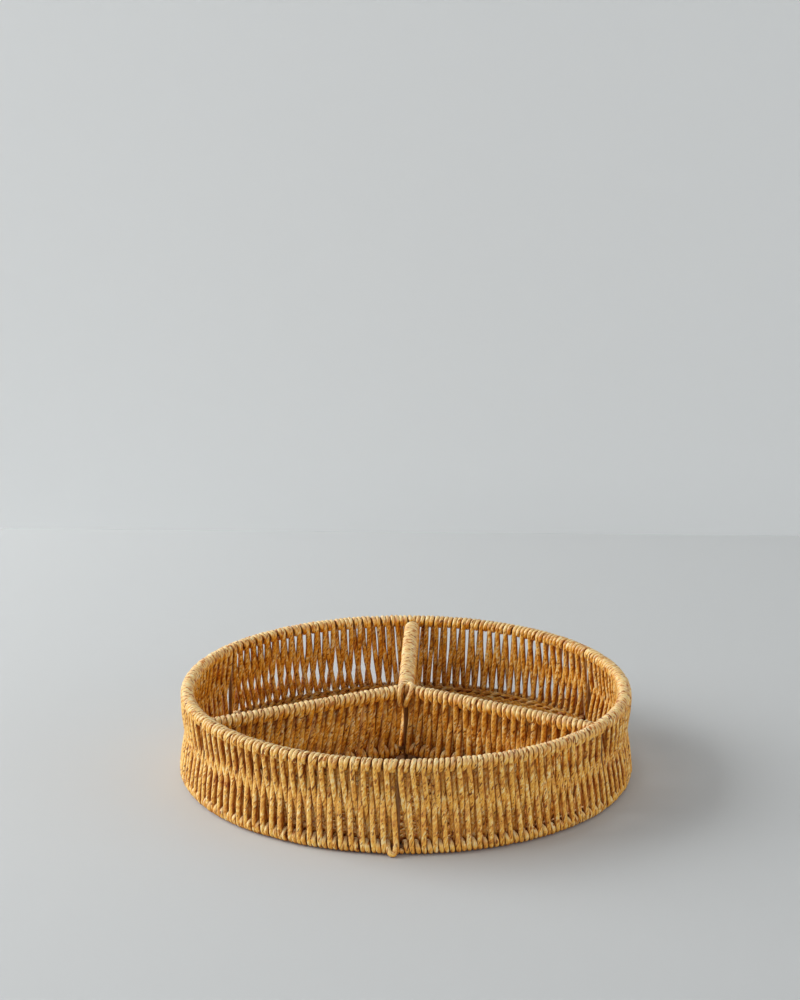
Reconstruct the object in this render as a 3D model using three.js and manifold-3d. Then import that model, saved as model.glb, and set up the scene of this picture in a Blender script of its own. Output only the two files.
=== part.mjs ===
import * as THREE from 'three';
import { mergeVertices } from 'three/addons/utils/BufferGeometryUtils.js';
import Module from 'manifold-3d';

const wasm = await Module();
wasm.setup();

// Round serving basket with three compartments: a wire frame wound with rope.
// Millimetres, +Z up. The origin is the middle of the base, on the surface the basket stands on.
// The front is towards -Y, and azimuth is counted from +X towards +Y.

// Overall sizes, measured over the rope
const rimDiameter = 300;
const baseDiameter = 302;
const basketHeight = 61;

// Wire frame
const wireDiameter = 2.2;
const postDiameter = 2.2;
const hubPostDiameter = 3;
const hubPlateDiameter = 14;
const dividerCount = 3;
const firstPostDegrees = 30;

// Rope, the gap it keeps to its own next pass, and the lengths of rope in a wall between two posts
const ropeDiameter = 3.4;
const ropeGap = 0.6;
const wallLengths = 3;

// Floor mat
const floorThickness = 8.4;
const floorEdge = 2.2;

// Gap between pieces that touch
const clearance = 0.3;

// Facets
const ringSteps = 48;
const sectionSides = 6;

// Where the rope's gap to itself is measured: sections of a pass that are left out, points between sections
const passSections = 2;
const gapPoints = 4;

// Sizes that follow
const sectionCorner = 1 / Math.cos(Math.PI / sectionSides);
const wireRadius = wireDiameter / 2;
const boreRadius = wireRadius + clearance;
const wrapRadius = wireRadius + ropeDiameter;
const wireSeat = wireRadius * sectionCorner + clearance; // from a wire's axis to what meets its corner
const postRadius = postDiameter / 2;
const postSide = postRadius + clearance;
const postSeat = postRadius * sectionCorner + clearance; // from a post's axis to what meets its corner
const rimRadius = rimDiameter / 2 - wrapRadius;
const baseRadius = baseDiameter / 2 - wrapRadius;
const rimZ = basketHeight - wrapRadius;
const baseZ = wrapRadius;
const floorTop = baseZ + floorThickness / 2;
const dividerTopZ = rimZ - wireRadius - wireSeat; // under the rim wire
const dividerBaseZ = floorTop + clearance + wrapRadius;
const hubPlateRadius = hubPlateDiameter / 2;
const hubPostRadius = hubPostDiameter / 2;
const hubSeat = Math.max(hubPostRadius + clearance, boreRadius / Math.tan(Math.PI / dividerCount));
const postCount = 2 * dividerCount;
const postStep = (2 * Math.PI) / postCount;
const firstPost = THREE.MathUtils.degToRad(firstPostDegrees);

const wireLook = { color: 0x5f4130, roughness: 0.5, metalness: 0.4 };
const ropeLook = { color: 0xc59450, roughness: 0.85, metalness: 0 };
const floorLook = { color: 0xb98845, roughness: 0.9, metalness: 0 };

const up = new THREE.Vector3(0, 0, 1);
const group = new THREE.Group();
group.name = 'divided_serving_basket';

function addPiece(name, geometry, look) {
  const mesh = new THREE.Mesh(geometry, new THREE.MeshStandardMaterial(look));
  mesh.name = name;
  group.add(mesh);
}

// The walls and their posts lean from the base ring to the rim ring
function wallRadius(z) {
  return THREE.MathUtils.mapLinear(z, baseZ, rimZ, baseRadius, rimRadius);
}

function polar(radius, azimuth, z) {
  return new THREE.Vector3(radius * Math.cos(azimuth), radius * Math.sin(azimuth), z);
}

// Section of a wire or its bore: flats on a circle of the given radius, one of them underneath
function wireSection(radius) {
  const points = [];
  for (let i = 0; i < sectionSides; i += 1) {
    const angle = (2 * Math.PI * (i + 0.5)) / sectionSides - Math.PI / 2;
    const corner = new THREE.Vector2(Math.cos(angle), Math.sin(angle));
    points.push(corner.multiplyScalar(radius * sectionCorner));
  }
  return points;
}

// A closed or axis-to-axis profile of radius and height, turned about the Z axis
function turned(profile, steps) {
  return new THREE.LatheGeometry(profile, steps).rotateX(Math.PI / 2);
}

// Ring of wire. Its corners lie as far outside the true circle as its flats lie inside.
function wireRing(ringRadius, z) {
  const cornerRadius = (2 * ringRadius) / (1 + Math.cos(Math.PI / ringSteps));
  const profile = wireSection(wireRadius).map((p) => new THREE.Vector2(cornerRadius + p.x, z + p.y));
  profile.push(profile[0].clone());
  return turned(profile, ringSteps);
}

// Straight bar of wire section, one corner of it towards the given side
function bar(from, to, radius, side) {
  const along = to.clone().sub(from);
  const outline = new THREE.Shape(wireSection(radius));
  const geometry = new THREE.ExtrudeGeometry(outline, { depth: along.length(), bevelEnabled: false });
  const zAxis = along.normalize();
  const xAxis = side.clone().addScaledVector(zAxis, -side.dot(zAxis)).normalize();
  const yAxis = new THREE.Vector3().crossVectors(zAxis, xAxis);
  const place = new THREE.Matrix4().makeBasis(xAxis, yAxis, zAxis).setPosition(from);
  return geometry.applyMatrix4(place);
}

// Closed skin over a row of four-cornered sections
function skinned(sections) {
  const geometry = new THREE.BufferGeometry().setFromPoints(sections.flat());
  const faces = [];
  const addFace = (a, b, c, d) => faces.push(a, b, c, a, c, d);
  for (let i = 0; i + 1 < sections.length; i += 1) {
    for (let corner = 0; corner < 4; corner += 1) {
      const next = (corner + 1) % 4;
      addFace(4 * i + corner, 4 * i + next, 4 * i + 4 + next, 4 * i + 4 + corner);
    }
  }
  const last = 4 * (sections.length - 1);
  addFace(3, 2, 1, 0);
  addFace(last, last + 1, last + 2, last + 3);
  geometry.setIndex(faces);
  const flat = geometry.toNonIndexed();
  flat.computeVertexNormals();
  return flat;
}

// Least distance from the skin's edges to those of another pass, on points along them
function leastGap(sections) {
  const spots = [];
  for (let i = 0; i + 1 < sections.length; i += 1) {
    for (let step = 0; step < gapPoints; step += 1) {
      const share = step / gapPoints;
      sections[i].forEach((from, corner) => {
        spots.push({ at: i + share, point: from.clone().lerp(sections[i + 1][corner], share) });
      });
    }
  }
  let least = Infinity;
  for (let a = 0; a < spots.length; a += 1) {
    for (let b = a + 1; b < spots.length; b += 1) {
      if (spots[b].at - spots[a].at > passSections) {
        least = Math.min(least, spots[a].point.distanceTo(spots[b].point));
      }
    }
  }
  return least;
}

// One rope wound in a figure 8 between an upper and a lower wire of the given length. A turn goes over
// the upper wire from the inside to the outside, slants down to the inside of the lower wire, goes under
// it and slants up again; the down and up strands pass side by side at half height. Each pass over a
// wire is as wide as the turn, for the strand's own wrap and the short wrap beside it.
// spotAt(along, across, rise, atTop) places a point beside a wire.
function woundRope(name, length, spotAt) {
  const turns = Math.floor(length / (2 * ropeDiameter));
  const turnLength = length / turns;
  const passWidth = turnLength - ropeGap;
  const strandWidth = turnLength / 2 - ropeGap;
  const sections = [];
  // A section across the rope: two corners on the rope's outer side, then two on its inner side
  const addSection = (middle, width, degrees, outer, inner, atTop) => {
    const angle = THREE.MathUtils.degToRad(degrees);
    const corner = (reach, along) => spotAt(along, reach * Math.cos(angle), reach * Math.sin(angle), atTop);
    const low = middle - width / 2;
    const high = middle + width / 2;
    sections.push([corner(outer, low), corner(outer, high), corner(inner, high), corner(inner, low)]);
  };
  for (let turn = 0; turn < turns; turn += 1) {
    const arrives = (turn + 0.25) * turnLength;
    const middle = (turn + 0.5) * turnLength;
    const leaves = (turn + 0.75) * turnLength;
    addSection(arrives, strandWidth, 180, wrapRadius, wireSeat, true);
    addSection(middle, passWidth, 120, wrapRadius * sectionCorner, wireSeat, true);
    addSection(middle, passWidth, 60, wrapRadius * sectionCorner, wireSeat, true);
    addSection(leaves, strandWidth, 0, wrapRadius, wireSeat, true);
    addSection(arrives, strandWidth, 180, wireSeat, wrapRadius, false);
    addSection(middle, passWidth, 240, wireSeat, wrapRadius * sectionCorner, false);
    addSection(middle, passWidth, 300, wireSeat, wrapRadius * sectionCorner, false);
    addSection(leaves, strandWidth, 360, wireSeat, wrapRadius, false);
  }
  console.log(`${name}: ${turns} turns, least gap ${leastGap(sections).toFixed(2)} mm`);
  return skinned(sections);
}

// One length of rope of the wall between the post at the given azimuth and the next, wound towards it
function wallWeave(azimuth, part) {
  const endAngle = Math.asin(postSide / (Math.min(rimRadius, baseRadius) - wrapRadius));
  const span = (postStep - 2 * endAngle) / wallLengths;
  const start = azimuth + endAngle + (part + 1) * span;
  return woundRope('wall rope', span * rimRadius, (along, across, rise, atTop) => {
    const spotAzimuth = start - along / rimRadius;
    return atTop
      ? polar(rimRadius + across, spotAzimuth, rimZ + rise)
      : polar(baseRadius + across, spotAzimuth, baseZ + rise);
  });
}

// Divider along azimuth 0, wound from the rim to the hub, where it stops clear of the other dividers.
// Its outer end leans with the wall.
function dividerWeave() {
  const hubEnd = Math.max(hubSeat + clearance, (wrapRadius + clearance) / Math.tan(Math.PI / dividerCount));
  const wallSide = wrapRadius + 2 * clearance;
  const topLength = wallRadius(dividerTopZ) - wallSide - hubEnd;
  const baseLength = wallRadius(dividerBaseZ) - wallSide - hubEnd;
  return woundRope('divider rope', topLength, (along, across, rise, atTop) => {
    const left = 1 - along / topLength;
    return atTop
      ? new THREE.Vector3(hubEnd + left * topLength, -across, dividerTopZ + rise)
      : new THREE.Vector3(hubEnd + left * baseLength, -across, dividerBaseZ + rise);
  });
}

// Straight wire of a divider, from the hub post to the post in the wall
function dividerWire(azimuth, z) {
  const from = polar(hubSeat, azimuth, z);
  const to = polar(wallRadius(z) - postSeat, azimuth, z);
  return bar(from, to, wireRadius, up);
}

// Round rod or disc on the Z axis
function turnedRod(radius, low, high) {
  return turned([
    new THREE.Vector2(0, low),
    new THREE.Vector2(radius, low),
    new THREE.Vector2(radius, high),
    new THREE.Vector2(0, high),
  ], 2 * postCount);
}

function spoke(azimuth, start, end, radius) {
  return bar(polar(start, azimuth, baseZ), polar(end, azimuth, baseZ), radius, up);
}

function solidOf(geometry) {
  const bare = geometry.clone();
  bare.deleteAttribute('normal');
  bare.deleteAttribute('uv');
  const merged = mergeVertices(bare, 1e-4);
  return new wasm.Manifold(new wasm.Mesh({
    numProp: 3,
    vertProperties: merged.attributes.position.array,
    triVerts: new Uint32Array(merged.index.array),
  }));
}

function geometryOf(solid) {
  const mesh = solid.getMesh();
  const geometry = new THREE.BufferGeometry();
  geometry.setAttribute('position', new THREE.BufferAttribute(mesh.vertProperties, 3));
  geometry.setIndex(new THREE.BufferAttribute(mesh.triVerts, 1));
  const flat = geometry.toNonIndexed();
  flat.computeVertexNormals();
  return flat;
}

// Round mat with a hole for the hub plate and a bore for each spoke
function floorWeave() {
  const inner = hubPlateRadius + clearance;
  const outer = baseRadius - wrapRadius - clearance;
  const low = baseZ - floorThickness / 2;
  let mat = solidOf(turned([
    new THREE.Vector2(inner, low),
    new THREE.Vector2(outer - floorEdge, low),
    new THREE.Vector2(outer, low + floorEdge),
    new THREE.Vector2(outer, floorTop - floorEdge),
    new THREE.Vector2(outer - floorEdge, floorTop),
    new THREE.Vector2(inner, floorTop),
    new THREE.Vector2(inner, low),
  ], ringSteps));
  for (let i = 0; i < postCount; i += 1) {
    const cutter = spoke(firstPost + i * postStep, inner - clearance, outer + clearance, boreRadius);
    mat = mat.subtract(solidOf(cutter));
  }
  return geometryOf(mat);
}

addPiece('rim_wire', wireRing(rimRadius, rimZ), wireLook);
addPiece('base_wire', wireRing(baseRadius, baseZ), wireLook);
addPiece('hub_plate', turnedRod(hubPlateRadius, baseZ - wireRadius, baseZ + wireRadius), wireLook);
addPiece('hub_post', turnedRod(hubPostRadius, baseZ + boreRadius, dividerTopZ + wireRadius), wireLook);
addPiece('floor_weave', floorWeave(), floorLook);

const postPlaces = ['rear_right', 'rear', 'rear_left', 'front_left', 'front', 'front_right'];
const wallPlaces = ['rear_right', 'rear_left', 'left', 'front_left', 'front_right', 'right'];
const spokeStart = hubPlateRadius + clearance;
const spokeEnd = baseRadius - wireSeat;

for (let i = 0; i < postCount; i += 1) {
  const place = postPlaces[i];
  const azimuth = firstPost + i * postStep;
  const footZ = baseZ + boreRadius;
  const headZ = rimZ - boreRadius;
  const foot = polar(wallRadius(footZ), azimuth, footZ);
  const head = polar(wallRadius(headZ), azimuth, headZ);
  const outward = polar(1, azimuth, 0);
  addPiece(`post_${place}`, bar(foot, head, postRadius, outward), wireLook);
  addPiece(`floor_spoke_${place}`, spoke(azimuth, spokeStart, spokeEnd, wireRadius), wireLook);
  for (let part = 0; part < wallLengths; part += 1) {
    addPiece(`wall_weave_${wallPlaces[i]}_${part + 1}`, wallWeave(azimuth, part), ropeLook);
  }

  // Every second post holds a divider.
  if (i % 2 === 1) {
    addPiece(`divider_top_wire_${place}`, dividerWire(azimuth, dividerTopZ), wireLook);
    addPiece(`divider_base_wire_${place}`, dividerWire(azimuth, dividerBaseZ), wireLook);
    addPiece(`divider_weave_${place}`, dividerWeave().rotateZ(azimuth), ropeLook);
  }
}

export default group;
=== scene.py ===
import math
import bpy
import numpy as np
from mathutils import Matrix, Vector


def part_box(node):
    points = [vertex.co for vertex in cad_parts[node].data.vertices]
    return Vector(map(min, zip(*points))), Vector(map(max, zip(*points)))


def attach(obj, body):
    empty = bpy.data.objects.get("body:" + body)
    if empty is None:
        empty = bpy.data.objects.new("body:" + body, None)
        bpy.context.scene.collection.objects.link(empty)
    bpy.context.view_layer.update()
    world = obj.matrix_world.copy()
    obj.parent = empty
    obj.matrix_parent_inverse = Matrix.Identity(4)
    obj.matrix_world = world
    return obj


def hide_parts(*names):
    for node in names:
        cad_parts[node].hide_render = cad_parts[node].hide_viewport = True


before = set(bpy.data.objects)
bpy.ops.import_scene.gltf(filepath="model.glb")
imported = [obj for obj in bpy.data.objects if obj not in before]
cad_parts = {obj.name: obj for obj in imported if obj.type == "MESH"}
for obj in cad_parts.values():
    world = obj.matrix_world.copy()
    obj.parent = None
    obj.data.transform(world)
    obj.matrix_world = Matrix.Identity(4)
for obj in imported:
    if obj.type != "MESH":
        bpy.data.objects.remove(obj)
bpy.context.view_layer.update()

MM = 0.001
FULL_TURN = 2 * math.pi


def middle_z(node):
    """Middle height of a CAD node, in millimetres."""
    low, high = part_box(node)
    return round((low[2] + high[2]) / 2 / MM, 2)


def thickness(node):
    """Height of a CAD node from bottom to top, in millimetres."""
    low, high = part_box(node)
    return round((high[2] - low[2]) / MM, 2)


# Wire frame, in millimetres
RIM_R = 145.5
BASE_R = 146.5
RIM_Z = middle_z("rim_wire")
BASE_Z = middle_z("base_wire")
DIVIDER_TOP_Z = middle_z("divider_top_wire_rear")
DIVIDER_BASE_Z = middle_z("divider_base_wire_rear")
WIRE_R = thickness("rim_wire") / 2

# Posts from the right rear round to the left, and the bare wire left on each side of them
POSTS = ["rear_right", "rear", "rear_left", "front_left", "front", "front_right"]
POST_GAPS = [3.3, 2.2, 2.1, 1.0, 1.8, 1.3]
FIRST_POST = math.radians(30)
POST_STEP = FULL_TURN / len(POSTS)

# Walls in the same order, and the number of rope lengths that each has in the solids
WALLS = ["rear_right", "rear_left", "left", "front_left", "front_right", "right"]
WALL_LENGTHS = 3

# Where a divider's rope begins and ends, from the basket's axis
DIVIDER_HUB_END = 3.4
DIVIDER_WALL_END = 139.0

# Rope, in millimetres
WRAP_R = 1.67
BASE_WRAP_R = 1.72
STRAND_R = 1.84
DIVIDER_WRAP_R = 1.85
DIVIDER_STRAND_R = 2.1
LAY_LENGTH = 24.0

# How much wider than round the wraps are, and the least height of a rope's middle in its radii
WRAP_SPREAD = 1.06
BASE_WRAP_SPREAD = 1.2
LEAST_HEIGHT = 1.06

# Skin of a rope: sides, swelling (amount and spacing in steps), roughness and rounded ends
SIDES = 12
SWELLS = [(0.03, 7), (0.015, 2.5)]
SKIN_ROUGHNESS = 0.01
END_LENGTH = 1.2
END_START = 0.45
END_TIP = 0.1
ANY_DIRECTION = (0.31, 0.17, 0.93)

# Where the straw's pattern begins for each seed, and how far it jumps between ropes, in metres
PATTERN_START = 3.7
PATTERN_JUMP = 0.5

# Map for baking: about how much longer than wide a face is, and the room for rows, caps and edges
MAP_STRETCH = 1.4
MAP_ROW_ROOM = 0.06
MAP_CAP_R = 0.4
MAP_EDGE = 0.003

# Winding: a wire passage's share of a turn, its slipping ends, and where the winding starts and ends
PASSAGE_SHARE = 0.75
SLIP_PART = 0.25
SHIFT_TURNS = 5
TAIL_GAP = 0.12
END_SLIDE = -0.05

# Steps along wraps, strands and loops
ARC_STEP = math.radians(20)
STRAND_STEPS = 36
LOOP_STEP = 1.0

# How uneven the winding is, in parts of its size or of a turn, and in millimetres for the sway
WRAP_VARIES = 0.03
POINT_VARIES = 0.015
PLACE_VARIES = 0.035
BEND_VARIES = 0.045
WAVE_VARIES = 0.025
SWAY_VARIES = 0.12
BELLY_VARIES = 0.2

# A strand is pressed thinner where it crosses the others
WAIST = 0.45
WAIST_LENGTH = 0.15

# Floor of twisted pairs of rope, in millimetres, with a raised border
FLOOR_R = 138.6
FLOOR_HOLE_R = 10.0
FLOOR_ROPE_R = 1.84
FLOOR_PITCH = 3 * FLOOR_ROPE_R
FLOOR_Z = middle_z("floor_weave") + thickness("floor_weave") / 2 - 2 * FLOOR_ROPE_R
BORDER_Z = 6.3
FLOOR_STEP = 1.2
FLOOR_SIDES = 8
FLOOR_WANDER = 0.25
FLOOR_WAVES = 5
OUTER_RINGS = 9

# Length of a twist, and the number that a ring's twists are a multiple of
LOOSEST_TWIST = 15.0
TIGHTEST_TWIST = 11.0
TWIST_MULTIPLE = len(POSTS) // 2

# Random seeds of the paths and of the skins
WALL_PATH_SEED = 100
WALL_SKIN_SEED = 10
DIVIDER_PATH_SEEDS = {"rear": 204, "front_left": 210, "front_right": 211}
DIVIDER_SKIN_SEEDS = {"rear": 24, "front_left": 30, "front_right": 31}
FLOOR_PATH_SEED = 300
FLOOR_SKIN_SEEDS = {"outer": 31, "inner": 32}
HUB_LOOP_SEED = 41
BASE_LOOP_SEED = 42
POST_TURN_SEED = 43


# Rope geometry

def smooth_noise(rng, count, spacing):
    """Random curve of unit spread with a knot every so many samples, and spare knots at its end."""
    knots = rng.normal(0, 1, int(count / spacing) + 4)
    at = np.arange(count) / spacing + 1
    low = at.astype(int)
    t = at - low
    t = t * t * (3 - 2 * t)
    return knots[low] * (1 - t) + knots[low + 1] * t


def rope_frames(path, closed):
    """Turning-free normals and binormals along a path."""
    if closed:
        tangent = np.roll(path, -1, 0) - np.roll(path, 1, 0)
    else:
        tangent = np.gradient(path, axis=0)
    tangent /= np.linalg.norm(tangent, axis=1)[:, None]
    first = np.cross(tangent[0], ANY_DIRECTION)
    normals = [first / np.linalg.norm(first)]
    for t in tangent[1:]:
        n = normals[-1] - t * np.dot(t, normals[-1])
        normals.append(n / np.linalg.norm(n))
    normal = np.array(normals)
    return normal, np.cross(tangent, normal)


def outward(path):
    """Level unit vectors away from the basket's axis."""
    level = path * (1, 1, 0)
    return level / np.linalg.norm(level, axis=1)[:, None]


def sideways(path):
    """Level unit vectors round the basket's axis."""
    return np.cross((0, 0, 1), outward(path))


def rope_skin(rope, rng, run, beside, sides, closed):
    """Points of a rope's skin, their places in the straw's pattern, their grooves and the rope's length.

    A point's groove is 1 where it faces the next rope, and 0 where it faces away from both neighbours;
    the material paints shade at the seams from it.
    """
    path, radius = rope[:, :3], rope[:, 3]
    n = len(path)
    theta = np.arange(sides) * FULL_TURN / sides
    normal, binormal = rope_frames(path, closed)
    s = np.concatenate([[0], np.cumsum(np.linalg.norm(np.diff(path, axis=0), axis=1))])
    swell = np.ones(n)
    for amount, spacing in SWELLS:
        swell += amount * smooth_noise(rng, n, spacing)
    r = radius[:, None] * (swell[:, None] + SKIN_ROUGHNESS * rng.normal(0, 1, (n, sides)))
    if not closed:
        end = np.minimum(s, s[-1] - s) / END_LENGTH
        r = r * np.minimum(end + END_START, 1)[:, None]
        r[[0, -1]] *= END_TIP
    facing = (normal[:, None, :] * np.cos(theta)[None, :, None]
              + binormal[:, None, :] * np.sin(theta)[None, :, None])
    points = (path[:, None, :] + r[:, :, None] * facing).reshape(-1, 3)
    groove = np.abs((facing * beside(path)[:, None, :]).sum(-1)).ravel()
    twisted = theta[None, :] - FULL_TURN * s[:, None] / LAY_LENGTH
    along = np.repeat((run + s * MM)[:, None], sides, 1)
    across = WRAP_R * MM * np.stack([np.cos(twisted), np.sin(twisted)], -1)
    pattern = np.concatenate([along[:, :, None], across], -1).reshape(-1, 3)
    return points, pattern, groove, s[-1]


def skin_quads(n, sides, closed):
    """Faces between n rings of points."""
    ring = np.arange(n if closed else n - 1)[:, None]
    side = np.arange(sides)[None, :]
    after = (ring + 1) % n
    turn = (side + 1) % sides
    corners = [ring * sides + side, ring * sides + turn, after * sides + turn, after * sides + side]
    return np.stack(corners, -1).reshape(-1, 4)


def smooth_mesh(name, points, quads, caps, sides):
    """Smooth-shaded mesh of four-sided faces and end caps."""
    mesh = bpy.data.meshes.new(name)
    loops = np.concatenate([quads.ravel(), *caps]).astype(np.int32)
    totals = np.concatenate([np.full(len(quads), 4), np.full(len(caps), sides)]).astype(np.int32)
    starts = np.concatenate([[0], np.cumsum(totals)[:-1]]).astype(np.int32)
    mesh.vertices.add(len(points))
    mesh.vertices.foreach_set("co", points.astype(np.float32).ravel())
    mesh.loops.add(len(loops))
    mesh.loops.foreach_set("vertex_index", loops)
    mesh.polygons.add(len(totals))
    mesh.polygons.foreach_set("loop_start", starts)
    mesh.polygons.foreach_set("loop_total", totals)
    mesh.update(calc_edges=True)
    mesh.polygons.foreach_set("use_smooth", np.ones(len(totals), dtype=bool))
    return mesh


def bake_map(mesh, steps, sides, caps):
    """Map without overlaps: the ropes' skin cut into rows, and the end caps in a row of their own."""
    rows = max(1, round(math.sqrt(steps / sides * MAP_STRETCH)))
    per_row = math.ceil(steps / rows)
    step, side = np.divmod(np.arange(steps * sides), sides)
    row, place = np.divmod(step, per_row)
    u = np.stack([place, place, place + 1, place + 1], -1) / per_row
    v = np.stack([side, side + 1, side + 1, side], -1) / sides
    v = (row[:, None] + MAP_ROW_ROOM + (1 - 2 * MAP_ROW_ROOM) * v) / (rows + 1)
    angle = np.arange(sides) * FULL_TURN / sides
    cap_u = (np.arange(caps)[:, None] + 0.5 + MAP_CAP_R * np.cos(angle)) / max(caps, 1)
    cap_v = np.broadcast_to((rows + 0.5 + MAP_CAP_R * np.sin(angle)) / (rows + 1), cap_u.shape)
    flat_u = MAP_EDGE + (1 - 2 * MAP_EDGE) * np.concatenate([u.ravel(), cap_u.ravel()])
    flat_v = np.concatenate([v.ravel(), cap_v.ravel()])
    layer = mesh.uv_layers.new(name="OFBake")
    layer.data.foreach_set("uv", np.stack([flat_u, flat_v], -1).astype(np.float32).ravel())


def rope_piece(name, ropes, seed, beside, sides=SIDES, closed=False):
    """Object of one or more ropes, each a path in millimetres with the rope's radius as fourth column.

    The function beside gives the direction in which the next rope lies.
    """
    rng = np.random.default_rng(seed)
    points, patterns, grooves, quads, caps = [], [], [], [], []
    offset = 0
    run = seed * PATTERN_START
    for rope in ropes:
        skin, pattern, groove, length = rope_skin(rope, rng, run, beside, sides, closed)
        points.append(skin)
        patterns.append(pattern)
        grooves.append(groove)
        quads.append(skin_quads(len(rope), sides, closed) + offset)
        if not closed:
            first = offset + np.arange(sides)
            caps += [first[::-1], first + (len(rope) - 1) * sides]
        offset += len(rope) * sides
        run += length * MM + PATTERN_JUMP
    quads = np.concatenate(quads)
    mesh = smooth_mesh(name, np.concatenate(points) * MM, quads, caps, sides)
    attribute = mesh.attributes.new("rope_at", "FLOAT_VECTOR", "POINT")
    attribute.data.foreach_set("vector", np.concatenate(patterns).astype(np.float32).ravel())
    attribute = mesh.attributes.new("groove", "FLOAT", "POINT")
    attribute.data.foreach_set("value", np.concatenate(grooves).astype(np.float32))
    bake_map(mesh, len(quads) // sides, sides, len(caps))
    piece = bpy.data.objects.new(name, mesh)
    bpy.context.scene.collection.objects.link(piece)
    return piece


# Paths of the ropes

def winding(ends, heights, radii, spreads, seed, turns, direction, shift, slips, bow, nest=(0.0,),
            last_strand=True):
    """Figure-8 winding in a panel's own frame: along, across, height and rope radius, in millimetres.

    The rope goes one and a half times round the top wire, crosses down to the other side of the base
    wire, goes one and a half times round that and crosses up again. Each passage round a wire takes
    most of a turn's length. The slips part its two free strands further, at the top and at the base,
    and have values for even steps along the winding. Shift moves the base passages along by parts of
    a turn. The more bow, the longer a strand stays on its side of the panel before it crosses. Nest
    pushes the strands down and the strands up apart sideways, by parts of a turn, where they cross.
    The spreads widen the wraps sideways. A short tail fills the top wire before the first passage,
    and the winding ends with a last strand up or at the base.
    """
    rng = np.random.default_rng(seed)
    share = PASSAGE_SHARE
    top_z, base_z = heights
    strand_r = radii[2]
    lean = math.asin((2 * WIRE_R + radii[0] + radii[1]) / (top_z - base_z))
    sweep = 3 * math.pi + 2 * lean

    def along(values, i):
        """Value at turn i, from values for even steps along the winding."""
        return np.interp(i / (turns - 1), np.linspace(0, 1, len(values)), values)

    def wrap(i, top, begin=0.0, end=1.0, slide=0.0):
        """Passage of turn i round the top or base wire, or a part of it."""
        level = 0 if top else 1
        wrap_r = radii[level]
        slip = along(slips[level], i)
        arc = np.linspace(begin, end, int((end - begin) * sweep / ARC_STEP) + 1)
        uneven = 1 + WRAP_VARIES * rng.normal() + POINT_VARIES * rng.normal(0, 1, len(arc))
        grow = (WIRE_R + wrap_r) * uneven
        v = i + (1 - share) / 2 + share * arc + slide + PLACE_VARIES * rng.normal()
        late = np.clip((arc - (1 - SLIP_PART)) / SLIP_PART, 0, 1)
        early = np.clip((SLIP_PART - arc) / SLIP_PART, 0, 1)
        v += slip * (late ** 2 - early ** 2)
        angle = math.pi + lean - sweep * arc if top else math.pi - lean + sweep * arc
        z = heights[level] + grow * np.sin(angle)
        return np.stack([v, spreads[level] * grow * np.cos(angle), z, np.full(len(arc), wrap_r)], -1)

    def strand(a, b, push):
        """Rope that crosses the panel from one wire to the other."""
        t = np.linspace(0, 1, STRAND_STEPS + 1)[1:-1]
        line = a + (b - a) * t[:, None]
        line[:, 1] += bow * (a[1] - b[1]) / 2 * (np.cos(math.pi * t) - (1 - 2 * t))
        line[:, 0] += (push + BEND_VARIES * rng.normal()) * np.sin(math.pi * t)
        line[:, 0] += WAVE_VARIES * rng.normal() * np.sin(FULL_TURN * t)
        line[:, 1] += SWAY_VARIES * rng.normal() * np.sin(math.pi * t)
        belly = np.sqrt(np.sin(math.pi * t)) * (1 - WAIST * np.exp(-((t - 0.5) / WAIST_LENGTH) ** 2))
        line[:, 3] += (strand_r - line[:, 3]) * belly * (1 + BELLY_VARIES * rng.normal())
        return line

    half_wrap = (math.pi + lean) / sweep
    rows = [wrap(-1, False, 1 - half_wrap)]
    for i in range(turns):
        slide = shift * min(1.0, i / SHIFT_TURNS, (turns - 1 - i) / SHIFT_TURNS)
        push = along(nest, i)
        top = wrap(i, True)
        base = wrap(i, False, slide=slide)
        rows += [strand(rows[-1][-1], top[0], -push), top, strand(top[-1], base[0], push), base]
    last = turns - (1 - share) / 2
    if last_strand:
        top = wrap(turns, True, 0, half_wrap, slide=END_SLIDE)
        rows += [strand(rows[-1][-1], top[0], -nest[-1]), top]
        last = turns + END_SLIDE + (1 - share) / 2 + share * half_wrap
    tail = wrap(0, True, -FULL_TURN / sweep, -TAIL_GAP)
    first = (1 - share) / 2 - share * (math.pi - lean) / sweep
    paths = [np.concatenate(rows), tail]
    for path in paths:
        path[:, 0] = (path[:, 0] - first) / (last - first)
        if direction < 0:
            path[:, 0] = 1 - path[:, 0]
        path[:, 0] = ends[0] + (ends[1] - ends[0]) * path[:, 0]
    return paths


def wall_paths(i, seed, wind):
    """Ropes of the wall between post i and the next."""
    azimuth = FIRST_POST + i * POST_STEP
    ends = (POST_GAPS[i], POST_STEP * RIM_R - POST_GAPS[(i + 1) % len(POSTS)])
    heights = (RIM_Z, BASE_Z)
    radii = (WRAP_R, BASE_WRAP_R, STRAND_R)
    spreads = (WRAP_SPREAD, BASE_WRAP_SPREAD)
    paths = []
    for flat in winding(ends, heights, radii, spreads, seed, **wind):
        at = azimuth + flat[:, 0] / RIM_R
        rise = np.clip((flat[:, 2] - BASE_Z) / (RIM_Z - BASE_Z), 0, 1)
        radius = BASE_R + (RIM_R - BASE_R) * rise + flat[:, 1]
        z = np.maximum(flat[:, 2], LEAST_HEIGHT * flat[:, 3])
        paths.append(np.stack([radius * np.cos(at), radius * np.sin(at), z, flat[:, 3]], -1))
    return paths


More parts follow.
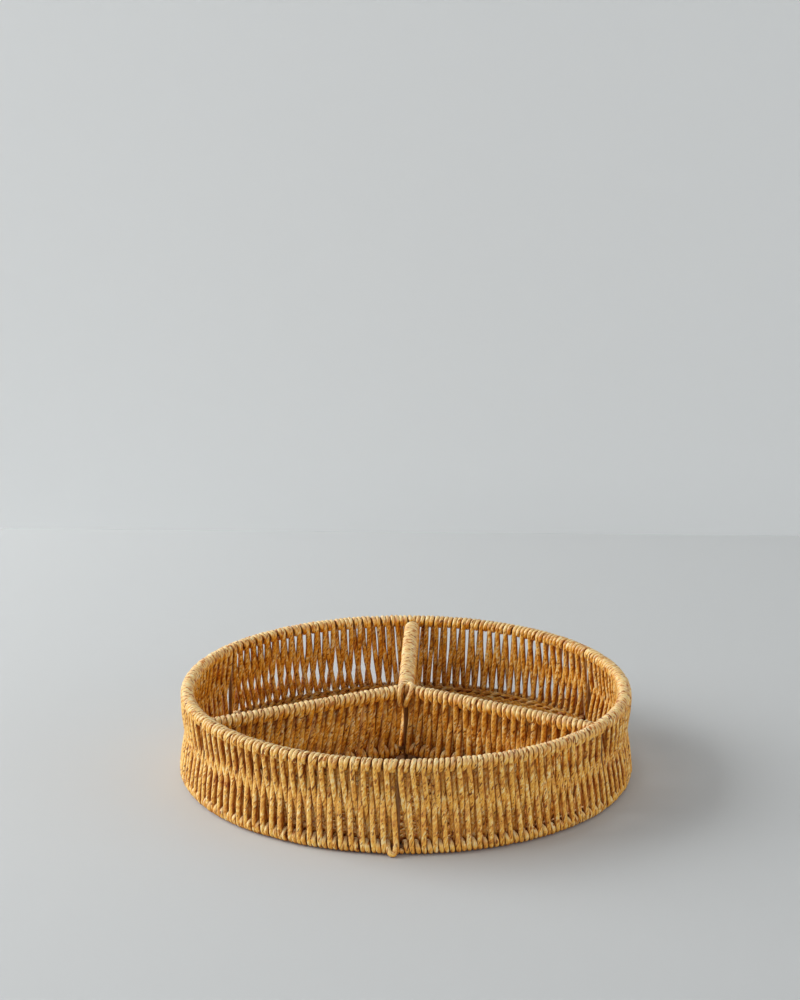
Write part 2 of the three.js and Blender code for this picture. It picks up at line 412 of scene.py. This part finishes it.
def divider_paths(azimuth, top_spread, seed, wind):
    """Ropes of the divider that points that way from the hub."""
    ends = (DIVIDER_HUB_END, DIVIDER_WALL_END)
    heights = (DIVIDER_TOP_Z, DIVIDER_BASE_Z)
    radii = (DIVIDER_WRAP_R, DIVIDER_WRAP_R, DIVIDER_STRAND_R)
    spreads = (top_spread, WRAP_SPREAD)
    c, s = math.cos(azimuth), math.sin(azimuth)
    paths = []
    for flat in winding(ends, heights, radii, spreads, seed, **wind):
        along, across = flat[:, 0], flat[:, 1]
        x = along * c + across * s
        y = along * s - across * c
        paths.append(np.stack([x, y, flat[:, 2], flat[:, 3]], -1))
    return paths


def wire_turn(azimuth, wire_radius, z, wrap_r):
    """Closed turn of rope round a level wire."""
    arc = np.arange(0, FULL_TURN, ARC_STEP)
    radius = wire_radius + (WIRE_R + wrap_r) * np.cos(arc)
    height = np.maximum(z + (WIRE_R + wrap_r) * np.sin(arc), LEAST_HEIGHT * wrap_r)
    return np.stack([radius * math.cos(azimuth), radius * math.sin(azimuth), height,
                     np.full(len(arc), wrap_r)], -1)


def spline(points, radius):
    """Rope path through given points."""
    knots = np.array(points, float)
    knots = np.concatenate([2 * knots[:1] - knots[1:2], knots, 2 * knots[-1:] - knots[-2:-1]])
    rows = []
    for p0, p1, p2, p3 in zip(knots, knots[1:], knots[2:], knots[3:]):
        steps = max(3, int(np.linalg.norm(p2 - p1) / LOOP_STEP))
        t = np.linspace(0, 1, steps, endpoint=False)[:, None]
        rows.append(0.5 * (2 * p1 + (p2 - p0) * t + (2 * p0 - 5 * p1 + 4 * p2 - p3) * t ** 2
                           + (3 * p1 - p0 - 3 * p2 + p3) * t ** 3))
    path = np.concatenate(rows + [knots[-2:-1]])
    return np.concatenate([path, np.full((len(path), 1), radius)], 1)


def floor_ring(radius, height, twists, quarter, seed):
    """Two ropes twisted round each other in a ring, a quarter of a twist on in every other ring."""
    rng = np.random.default_rng(seed)
    n = int(FULL_TURN * radius / FLOOR_STEP)
    a = np.arange(n) * FULL_TURN / n
    middle = radius + FLOOR_WANDER * np.sin(a * FLOOR_WAVES + rng.uniform(0, FULL_TURN)) * rng.normal()
    ropes = []
    for half in (0, math.pi):
        twist = (a - FIRST_POST) * twists + half + quarter * math.pi / 2
        r = middle + FLOOR_ROPE_R * np.cos(twist)
        z = height + FLOOR_ROPE_R * np.sin(twist)
        ropes.append(np.stack([r * np.cos(a), r * np.sin(a), z, np.full(n, FLOOR_ROPE_R)], -1))
    return ropes


def floor_rings():
    """Rings from the border inwards, with fewer twists to a ring where they would get too tight.

    A pair looks the same after half a twist, so it meets all the spokes alike with half as many twists
    as spokes, or a multiple of that.
    """
    rings = []
    radius = FLOOR_R
    twists = 0
    while radius > FLOOR_HOLE_R:
        around = FULL_TURN * radius
        if twists * TIGHTEST_TWIST > around or not twists:
            twists = TWIST_MULTIPLE * round(around / LOOSEST_TWIST / TWIST_MULTIPLE)
        height = FLOOR_Z if rings else BORDER_Z
        rings.append(floor_ring(radius, height, twists, len(rings) % 2, FLOOR_PATH_SEED + len(rings)))
        radius -= FLOOR_PITCH
    return rings


# Materials

def node_material(name):
    """Material with a bare shader, its node tree and the shader."""
    material = bpy.data.materials.new(name)
    material.use_nodes = True
    tree = material.node_tree
    tree.nodes.clear()
    out = tree.nodes.new("ShaderNodeOutputMaterial")
    shader = tree.nodes.new("ShaderNodeBsdfPrincipled")
    tree.links.new(shader.outputs["BSDF"], out.inputs["Surface"])
    return material, tree, shader


def add(tree, kind, inputs=None, **settings):
    """New node with its settings, and its inputs linked or set."""
    node = tree.nodes.new(kind)
    for key, value in settings.items():
        setattr(node, key, value)
    for key, value in (inputs or {}).items():
        if isinstance(value, bpy.types.NodeSocket):
            tree.links.new(value, node.inputs[key])
        else:
            node.inputs[key].default_value = value
    return node


def ramp(tree, factor, stops):
    """Colour that goes through stops of place and colour."""
    node = add(tree, "ShaderNodeValToRGB", {"Fac": factor})
    elements = node.color_ramp.elements
    while len(elements) < len(stops):
        elements.new(0.5)
    for element, (place, colour) in zip(elements, stops):
        element.position = place
        element.color = (*colour, 1)
    return node.outputs["Color"]


def noise(tree, vector, scale, detail):
    """Noise with its own scale along each axis."""
    at = add(tree, "ShaderNodeMapping", {"Vector": vector, "Scale": scale}).outputs["Vector"]
    return add(tree, "ShaderNodeTexNoise", {"Vector": at, "Scale": 1.0, "Detail": detail}).outputs["Fac"]


def maths(tree, operation, a, b):
    """Result of an operation on two numbers."""
    return add(tree, "ShaderNodeMath", {0: a, 1: b}, operation=operation).outputs[0]


def vector_maths(tree, operation, a, b=(0, 0, 0)):
    """Results of an operation on vectors."""
    return add(tree, "ShaderNodeVectorMath", {0: a, 1: b}, operation=operation).outputs


def weighted(tree, parts):
    """Sum of values, each with its weight."""
    total = maths(tree, "MULTIPLY", *parts[0])
    for value, weight in parts[1:]:
        total = maths(tree, "ADD", total, maths(tree, "MULTIPLY", value, weight))
    return total


def mixed(tree, factor, a, b, blend_type="MIX"):
    """Colour a, with as much of colour b as the factor says."""
    return add(tree, "ShaderNodeMix", {0: factor, 6: a, 7: b}, data_type="RGBA",
               blend_type=blend_type).outputs[2]


def grey(value):
    """Colour with three equal parts."""
    return (value, value, value)


def tinted(colour, shade_tint):
    """Colour made darker by a tint below 1."""
    return [shade_tint * part for part in colour]


# Straw: stops from dark to pale
STRAW_STOPS = [
    (0.39, (0.50, 0.130, 0.002)),
    (0.46, (0.80, 0.310, 0.010)),
    (0.53, (0.95, 0.545, 0.075)),
    (0.60, (1.00, 0.820, 0.460)),
]

# Noises of the straw, with scales along and across the rope and detail, and their weights in the tone
FIBRE = ((170, 1300, 1300), 2.0)
MOTTLE = ((420, 620, 620), 2.0)
SLOW_CHANGE = ((60, 60, 60), 1.0)
TONE_WEIGHTS = (0.35, 0.4, 0.25)

# Flecks: scales along and across the rope, where a fleck starts and is full, and its colour
FLECK_DETAIL = 1.0
FLECKS = [
    ((330, 720, 720), 0.60, 0.66, (0.48, 0.145, 0.004)),
    ((260, 620, 620), 0.65, 0.69, (0.24, 0.062, 0.002)),
]

# Painted light, as paler straw on the outside, the left and the top: where it starts, how much, and its
# colour
PAINTED_LIGHT_OUTSIDE = (0.1, 0.6, (0.81, 0.50, 0.13))
PAINTED_LIGHT_LEFT = (0.4, 0.7, (0.86, 0.72, 0.37))
PAINTED_LIGHT_TOP = (0.15, 1.0, (0.77, 0.73, 0.47))
PAINTED_LIGHT_FULL = 0.95

# Painted shade deep between ropes, within a reach in metres, painted shade at the seams where ropes lie
# side by side, and roughness
GAP_REACH = 0.005
GAP_SAMPLES = 8
GAP_SHADE = [(0.08, (0.50, 0.26, 0.07)), (0.55, grey(1))]
SEAM_SHADE = [(0.72, grey(1)), (0.97, (0.50, 0.30, 0.12))]
STRAW_ROUGHNESS = [(0.25, grey(0.75)), (0.85, grey(0.36))]
STRAW_SPECULAR = 0.42
STRAW_BUMP = {"Strength": 0.15, "Distance": 0.0004}
BUMP_WEIGHTS = (0.3, 0.5)


def painted_light(tree, straw, shade_tint, painted_light_share):
    """Straw with painted light: paler where it faces outside, left or up."""
    place = add(tree, "ShaderNodeNewGeometry").outputs
    facing = add(tree, "ShaderNodeSeparateXYZ", {"Vector": place["Normal"]}).outputs
    level = vector_maths(tree, "MULTIPLY", place["Position"], (1, 1, 0))["Vector"]
    level = vector_maths(tree, "NORMALIZE", level)["Vector"]
    away = vector_maths(tree, "DOT_PRODUCT", level, place["Normal"])["Value"]
    leftward = maths(tree, "MULTIPLY", facing["X"], -1.0)
    for side, (start, amount, lit_colour) in [
        (away, PAINTED_LIGHT_OUTSIDE),
        (leftward, PAINTED_LIGHT_LEFT),
        (facing["Z"], PAINTED_LIGHT_TOP),
    ]:
        light_mask = ramp(tree, side, [(start, grey(0)), (PAINTED_LIGHT_FULL, grey(amount * painted_light_share))])
        straw = mixed(tree, light_mask, straw, (*tinted(lit_colour, shade_tint), 1))
    return straw


def rope_material(name, shade_tint, painted_light_share):
    """Speckled straw with painted light facing outside, left or up, and painted shade between ropes and
    by the shade tint.
    """
    material, tree, shader = node_material(name)
    at = add(tree, "ShaderNodeAttribute", attribute_name="rope_at").outputs["Vector"]
    fibre = noise(tree, at, *FIBRE)
    mottle = noise(tree, at, *MOTTLE)
    slow = noise(tree, at, *SLOW_CHANGE)
    tone = weighted(tree, list(zip((fibre, mottle, slow), TONE_WEIGHTS)))
    straw = ramp(tree, tone, [(place, tinted(colour, shade_tint)) for place, colour in STRAW_STOPS])
    # Painted light: paler straw where the rope faces outside, left or up
    colour = painted_light(tree, straw, shade_tint, painted_light_share)
    for scale, start, full, fleck_colour in FLECKS:
        speckle = noise(tree, at, scale, FLECK_DETAIL)
        fleck = ramp(tree, speckle, [(start, grey(0)), (full, grey(1))])
        colour = mixed(tree, fleck, colour, (*tinted(fleck_colour, shade_tint), 1))
    near = add(tree, "ShaderNodeAmbientOcclusion", {"Distance": GAP_REACH}, samples=GAP_SAMPLES)
    gap = near.outputs["AO"]
    groove = add(tree, "ShaderNodeAttribute", attribute_name="groove").outputs["Fac"]
    # Painted shade: darker deep between the ropes and at the seams where they lie side by side
    colour = mixed(tree, 1.0, colour, ramp(tree, gap, GAP_SHADE), "MULTIPLY")
    colour = mixed(tree, 1.0, colour, ramp(tree, groove, SEAM_SHADE), "MULTIPLY")
    tree.links.new(colour, shader.inputs["Base Color"])
    tree.links.new(ramp(tree, gap, STRAW_ROUGHNESS), shader.inputs["Roughness"])
    shader.inputs["Specular IOR Level"].default_value = STRAW_SPECULAR
    height = weighted(tree, list(zip((fibre, mottle), BUMP_WEIGHTS)))
    bump = add(tree, "ShaderNodeBump", {"Height": height, **STRAW_BUMP})
    tree.links.new(bump.outputs["Normal"], shader.inputs["Normal"])
    return material


# Wire paint in patches of brown
PAINT_PATCHES = {"Scale": 180.0, "Detail": 3.0}
PAINT_STOPS = [
    (0.35, (0.150, 0.060, 0.016)),
    (0.60, (0.230, 0.100, 0.030)),
    (0.75, (0.300, 0.145, 0.050)),
]
PAINT_ROUGHNESS = [(0.3, grey(0.36)), (0.7, grey(0.52))]
PAINT_SPECULAR = 0.3
PAINT_BUMP = {"Strength": 0.15, "Distance": 0.0003}


def wire_material():
    """Brown satin paint with lighter and darker patches."""
    material, tree, shader = node_material("brown_wire_paint")
    where = add(tree, "ShaderNodeTexCoord").outputs["Object"]
    patch = add(tree, "ShaderNodeTexNoise", {"Vector": where, **PAINT_PATCHES}).outputs["Fac"]
    tree.links.new(ramp(tree, patch, PAINT_STOPS), shader.inputs["Base Color"])
    tree.links.new(ramp(tree, patch, PAINT_ROUGHNESS), shader.inputs["Roughness"])
    shader.inputs["Specular IOR Level"].default_value = PAINT_SPECULAR
    bump = add(tree, "ShaderNodeBump", {"Height": patch, **PAINT_BUMP})
    tree.links.new(bump.outputs["Normal"], shader.inputs["Normal"])
    return material


# Walls and dividers take half of the painted light
rope_look = rope_material("straw_rope", shade_tint=1.0, painted_light_share=0.5)
# The floor rope is the same straw made darker by the shade tint: painted shade, as the floor lies in the
# basket's shade, and no painted light
floor_look = rope_material("straw_rope_floor", shade_tint=0.68, painted_light_share=0.0)
wire_look = wire_material()


def dress(piece, look, slot, *nodes):
    """Give a piece its material and body, and hide the CAD nodes that it stands for; the slot is not
    used.
    """
    piece.data.materials.append(look)
    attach(piece, "root")
    if nodes:
        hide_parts(*nodes)


# Wires, posts and hub, which keep the CAD's shapes

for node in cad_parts.values():
    for slot in node.material_slots:
        slot.material = wire_look

# Walls: the slips and the nest open the slits of the two rear walls as they are seen from the front

WALL_WIND = {
    "rear_right": dict(turns=21, direction=-1, shift=0.3, bow=0.0,
                       slips=([-0.06, -0.045, -0.045, -0.045], [-0.04, -0.12, -0.09, -0.045, -0.045])),
    "rear_left": dict(turns=21, direction=1, shift=0.3, bow=0.0,
                      nest=[0.0, 0.2, 0.2, 0.2, 0.2, 0.2, 0.2],
                      slips=([-0.075, -0.125, -0.12, -0.1, -0.2, -0.3, -0.3],
                             [-0.1, 0.42, 0.4, 0.35, 0.35, 0.28, 0.25])),
    "left": dict(turns=21, direction=-1, shift=0.0, bow=0.7, slips=([0.0], [0.0])),
    "front_left": dict(turns=22, direction=-1, shift=0.0, bow=0.6, slips=([-0.15], [-0.1])),
    "front_right": dict(turns=22, direction=-1, shift=-0.05, bow=0.7, slips=([0.05], [0.05]),
                        last_strand=False),
    "right": dict(turns=21, direction=-1, shift=-0.3, bow=0.7, slips=([0.0], [0.0])),
}
for i, place in enumerate(WALLS):
    paths = wall_paths(i, WALL_PATH_SEED + i, WALL_WIND[place])
    piece = rope_piece("wall_rope_" + place, paths, WALL_SKIN_SEED + i, sideways)
    nodes = ["wall_weave_%s_%d" % (place, part) for part in range(1, WALL_LENGTHS + 1)]
    dress(piece, rope_look, "wall_rope", *nodes)

# Dividers: the rear one's top wraps are wider

DIVIDER_WIND = {
    "rear": dict(turns=18, direction=1, shift=0.4, bow=0.3, slips=([0.0], [0.0])),
    "front_left": dict(turns=18, direction=-1, shift=-0.6, bow=-0.2, slips=([0.08], [0.08])),
    "front_right": dict(turns=18, direction=1, shift=0.4, bow=0.3, slips=([0.08], [0.08])),
}
DIVIDER_TOP_SPREADS = {"rear": 1.3, "front_left": WRAP_SPREAD, "front_right": WRAP_SPREAD}
for place, wind in DIVIDER_WIND.items():
    azimuth = FIRST_POST + POSTS.index(place) * POST_STEP
    paths = divider_paths(azimuth, DIVIDER_TOP_SPREADS[place], DIVIDER_PATH_SEEDS[place], wind)
    piece = rope_piece("divider_rope_" + place, paths, DIVIDER_SKIN_SEEDS[place], outward)
    dress(piece, rope_look, "divider_rope", "divider_weave_" + place)

# Loops that tie the dividers together over the hub, and one that hangs at the foot of the front post

HUB_LOOPS = [
    [(-1.0, 1.5, 56.5), (-2.6, -2.5, 58.4), (-3.6, -7.4, 57.0), (-4.0, -9.6, 52.8), (-3.8, -9.4, 48.6),
     (-3.2, -7.4, 46.0), (-2.6, -4.5, 46.4)],
    [(1.6, 2.5, 57.0), (3.6, -1.5, 58.6), (4.0, -6.4, 57.4), (2.6, -9.0, 53.4), (0.6, -9.4, 49.2),
     (-0.2, -7.6, 46.0), (-0.4, -4.5, 46.0)],
]
BASE_LOOP = [(-6.4, -144.5, 6.8), (-6.0, -149.2, 5.6), (-5.0, -152.0, 2.7), (-3.3, -152.8, 1.9),
             (-1.9, -152.0, 2.6), (-1.5, -150.8, 7.5), (-1.7, -148.6, 15.0)]
hub_ropes = [spline(points, WRAP_R) for points in HUB_LOOPS]
hub_loop = rope_piece("hub_loop", hub_ropes, HUB_LOOP_SEED, sideways)
dress(hub_loop, rope_look, "divider_rope")
base_loop = rope_piece("base_loop", [spline(BASE_LOOP, WRAP_R)], BASE_LOOP_SEED, sideways)
dress(base_loop, rope_look, "wall_rope")

# Turns that close the wider gaps on the rim and the base at the right rear post

turns = [wire_turn(FIRST_POST, RIM_R, RIM_Z, WRAP_R), wire_turn(FIRST_POST, BASE_R, BASE_Z, BASE_WRAP_R)]
post_turns = rope_piece("post_turns", turns, POST_TURN_SEED, sideways, closed=True)
dress(post_turns, rope_look, "wall_rope")

# Floor

rings = floor_rings()
for part, band in [("outer", rings[:OUTER_RINGS]), ("inner", rings[OUTER_RINGS:])]:
    ropes = [rope for ring in band for rope in ring]
    seed = FLOOR_SKIN_SEEDS[part]
    piece = rope_piece("floor_rope_" + part, ropes, seed, outward, FLOOR_SIDES, closed=True)
    dress(piece, floor_look, "floor_rope", "floor_weave")

# Stage, in metres

FLOOR_GREY = (0.563, 0.578, 0.580)
WALL_GREY = (0.725, 0.748, 0.754)
FLOOR_ROUGHNESS = 0.85
WALL_ROUGHNESS = 0.9
STAGE_REACH = 6.0
STAGE_HEIGHT = 5.0
WALL_Y = 0.6

# Floor near the window lamp: where in X its colour is darkest and full, and its shares along the way
DARKEST_X = -2.2
FULL_COLOUR_X = -0.4
LAMP_SHADES = [(0.0, 0.2), (0.35, 0.22), (0.65, 0.4), (0.85, 0.68), (1.0, 1.0)]


def floor_material():
    """Pale floor, darker close to the window lamp, where the light is strongest."""
    material, tree, shader = node_material("stage_floor")
    shader.inputs["Roughness"].default_value = FLOOR_ROUGHNESS
    where = add(tree, "ShaderNodeSeparateXYZ", {0: add(tree, "ShaderNodeTexCoord").outputs["Object"]})
    near = add(tree, "ShaderNodeMapRange",
               {"Value": where.outputs["X"], "From Min": DARKEST_X, "From Max": FULL_COLOUR_X})
    stops = [(at, tinted(FLOOR_GREY, share)) for at, share in LAMP_SHADES]
    shade = ramp(tree, near.outputs["Result"], stops)
    tree.links.new(shade, shader.inputs["Base Color"])
    return material


def wall_material():
    """Pale wall that can't be seen from behind."""
    material, tree, shader = node_material("stage_wall")
    shader.inputs["Base Color"].default_value = (*WALL_GREY, 1)
    shader.inputs["Roughness"].default_value = WALL_ROUGHNESS
    behind = add(tree, "ShaderNodeNewGeometry").outputs["Backfacing"]
    clear = add(tree, "ShaderNodeBsdfTransparent").outputs["BSDF"]
    either = add(tree, "ShaderNodeMixShader", {0: behind, 1: shader.outputs["BSDF"], 2: clear})
    tree.links.new(either.outputs["Shader"], tree.nodes["Material Output"].inputs["Surface"])
    return material


def plane(name, corners, look):
    """One flat face of the stage."""
    mesh = bpy.data.meshes.new(name)
    mesh.from_pydata(corners, [], [(0, 1, 2, 3)])
    mesh.materials.append(look)
    obj = bpy.data.objects.new(name, mesh)
    bpy.context.scene.collection.objects.link(obj)
    return obj


far = STAGE_REACH
plane("stage_floor", [(-far, -far, 0), (far, -far, 0), (far, far, 0), (-far, far, 0)], floor_material())
backdrop = plane("stage_wall", [(-far, WALL_Y, 0), (far, WALL_Y, 0), (far, WALL_Y, STAGE_HEIGHT),
                                (-far, WALL_Y, STAGE_HEIGHT)], wall_material())
backdrop.visible_shadow = False

# Light: the sky, and soft lamps

HORIZON_LIGHT = 0.52
ZENITH_LIGHT = 0.33
LAMP_TARGET = (0, 0, 0.03)

# Place in metres, width and height in metres, and power in watts
LAMPS = {
    "window": ((-2.2, 0.25, 1.2), (2.4, 1.8), 71),
    "right_card": ((2.3, -0.9, 0.6), (2.0, 1.2), 13),
    "front_card": ((-0.8, -2.6, 0.4), (2.6, 0.7), 9),
}


def sky_light():
    """Light from all round that dims from the horizon to the zenith."""
    world = bpy.data.worlds.new("studio")
    bpy.context.scene.world = world
    world.use_nodes = True
    tree = world.node_tree
    direction = add(tree, "ShaderNodeTexCoord").outputs["Generated"]
    above = add(tree, "ShaderNodeSeparateXYZ", {"Vector": direction})
    dim = ramp(tree, above.outputs["Z"], [(0.0, grey(HORIZON_LIGHT)), (1.0, grey(ZENITH_LIGHT))])
    tree.links.new(dim, tree.nodes["Background"].inputs["Color"])


def lamp(name, place, size, power):
    """Soft lamp that points at the basket."""
    data = bpy.data.lights.new(name, "AREA")
    data.shape = "RECTANGLE"
    data.size, data.size_y = size
    data.energy = power
    obj = bpy.data.objects.new(name, data)
    obj.location = place
    obj.rotation_mode = "QUATERNION"
    obj.rotation_quaternion = Vector(np.array(LAMP_TARGET) - np.array(place)).to_track_quat("-Z", "Y")
    bpy.context.scene.collection.objects.link(obj)


sky_light()
for name, (place, size, power) in LAMPS.items():
    lamp(name, place, size, power)

# Camera at the photo's angle, in metres, with its focal length in pixels of the photo

IMAGE_HEIGHT = 1000
FOCAL_PIXELS = 2206.8
SENSOR_SIZE = 36
CAMERA_DISTANCE = 1.5
CAMERA_ELEVATION = math.radians(21.247)
CAMERA_YAW = math.radians(2)
CAMERA_PITCH = math.radians(90 - 14.38)
CAMERA_OFFSET = -0.004

camera_data = bpy.data.cameras.new("camera")
camera_data.sensor_width = SENSOR_SIZE
camera_data.lens = FOCAL_PIXELS * SENSOR_SIZE / IMAGE_HEIGHT
camera = bpy.data.objects.new("camera", camera_data)
level = CAMERA_DISTANCE * math.cos(CAMERA_ELEVATION)
camera.location = (level * math.sin(CAMERA_YAW) + CAMERA_OFFSET, -level * math.cos(CAMERA_YAW),
                   CAMERA_DISTANCE * math.sin(CAMERA_ELEVATION))
camera.rotation_euler = (CAMERA_PITCH, 0, CAMERA_YAW)
bpy.context.scene.collection.objects.link(camera)
bpy.context.scene.camera = camera
bpy.context.scene.view_settings.view_transform = "Standard"
